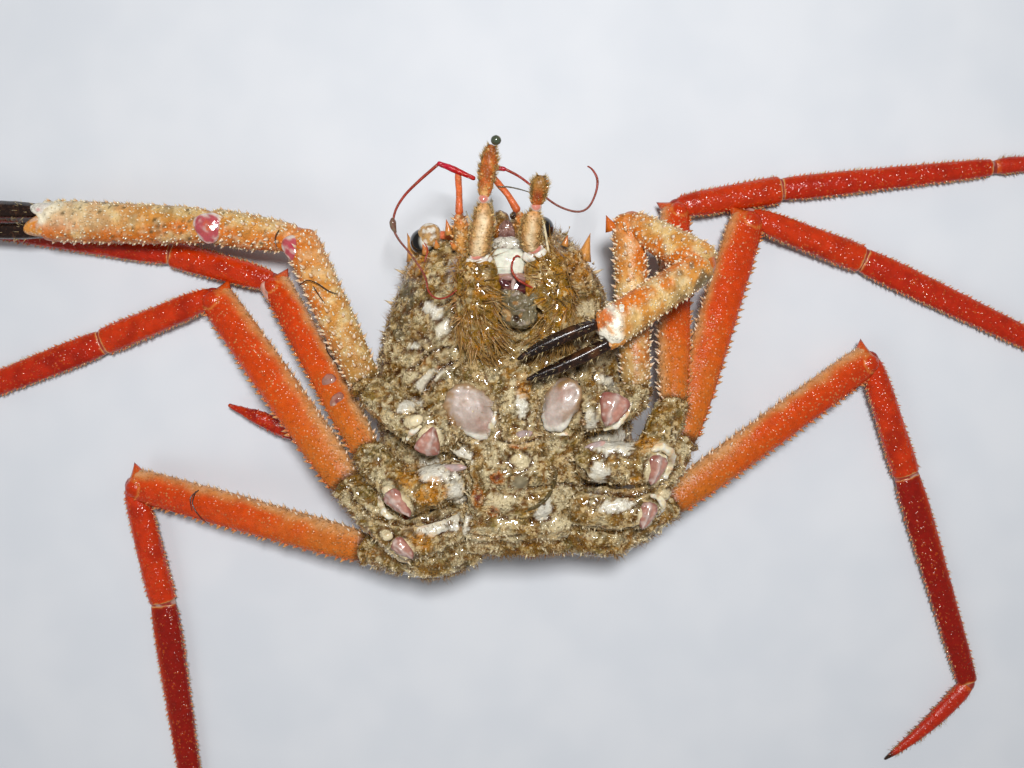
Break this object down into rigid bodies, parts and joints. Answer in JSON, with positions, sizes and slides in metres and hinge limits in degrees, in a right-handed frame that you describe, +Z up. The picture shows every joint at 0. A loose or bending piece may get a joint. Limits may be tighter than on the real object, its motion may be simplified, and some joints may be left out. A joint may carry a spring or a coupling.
{
  "type": "carrier crab model",
  "caption": "Still life-size model of a long-legged spiny deep-sea crab lying on its back, legs spread, one claw folded over its mouth and one stretched out.",
  "frame": {"origin": "on the floor, on the flat under the shell on which the crab lies, below the middle of its body", "axes": "+X towards the crab's own left side, +Y towards its head, +Z up, which is the way its belly faces"},
  "size_m": [0.515, 0.2942, 0.0665],
  "materials": {
    "shell": "olive tan shell with short brown bristles and cream patches",
    "body": "wet olive tan and cream plates with pink and lilac membranes at the joints",
    "merus": "orange, red along one side, with short bristles and spines",
    "leg": "deep glossy red orange with fine pale specks",
    "claw": "yellow orange with white tubercles, olive spots and short bristles",
    "finger": "glossy brown black with sparse pale hairs",
    "mouth": "wet white plate, dark purple mouth and grey soft lump",
    "hair": "golden brown hairs over an olive and cream base",
    "stalk": "orange brown with cream middles and pink joints",
    "eye": "glossy black"
  },
  "bodies": {
    "root": {"carapace": "shell", "breast": "body", "belly": "body", "mouth": "mouth", "mouth_leg_right": "hair", "mouth_leg_left": "hair", "palp_right": "stalk", "palp_left": "stalk", "antenna_right": "stalk", "antenna_left": "stalk", "eyestalk_right": "stalk", "eyestalk_left": "stalk", "eye_right": "eye", "eye_left": "eye", "claw_right_base": "body", "claw_right_merus": "claw", "claw_right_carpus": "claw", "claw_right_palm": "claw", "claw_right_finger": "finger", "claw_left_base": "body", "claw_left_merus": "claw", "claw_left_carpus": "claw", "claw_left_palm": "claw", "claw_left_finger": "finger", "leg_2_right_base": "body", "leg_2_right_merus": "merus", "leg_2_right_carpus": "leg", "leg_2_right_propodus": "leg", "leg_2_right_dactyl": "leg", "leg_2_left_base": "body", "leg_2_left_merus": "merus", "leg_2_left_carpus": "leg", "leg_2_left_propodus": "leg", "leg_2_left_dactyl": "leg", "leg_3_right_base": "body", "leg_3_right_merus": "merus", "leg_3_right_carpus": "leg", "leg_3_right_propodus": "leg", "leg_3_right_dactyl": "leg", "leg_3_left_base": "body", "leg_3_left_merus": "merus", "leg_3_left_carpus": "leg", "leg_3_left_propodus": "leg", "leg_3_left_dactyl": "leg", "leg_4_right_base": "body", "leg_4_right_merus": "merus", "leg_4_right_carpus": "leg", "leg_4_right_propodus": "leg", "leg_4_right_dactyl": "leg", "leg_4_left_base": "body", "leg_4_left_merus": "merus", "leg_4_left_carpus": "leg", "leg_4_left_propodus": "leg", "leg_4_left_dactyl": "leg", "leg_5_right": "leg", "leg_5_right_claw": "leg", "leg_5_left": "leg", "leg_5_left_claw": "leg"}
  },
  "joints": []
}
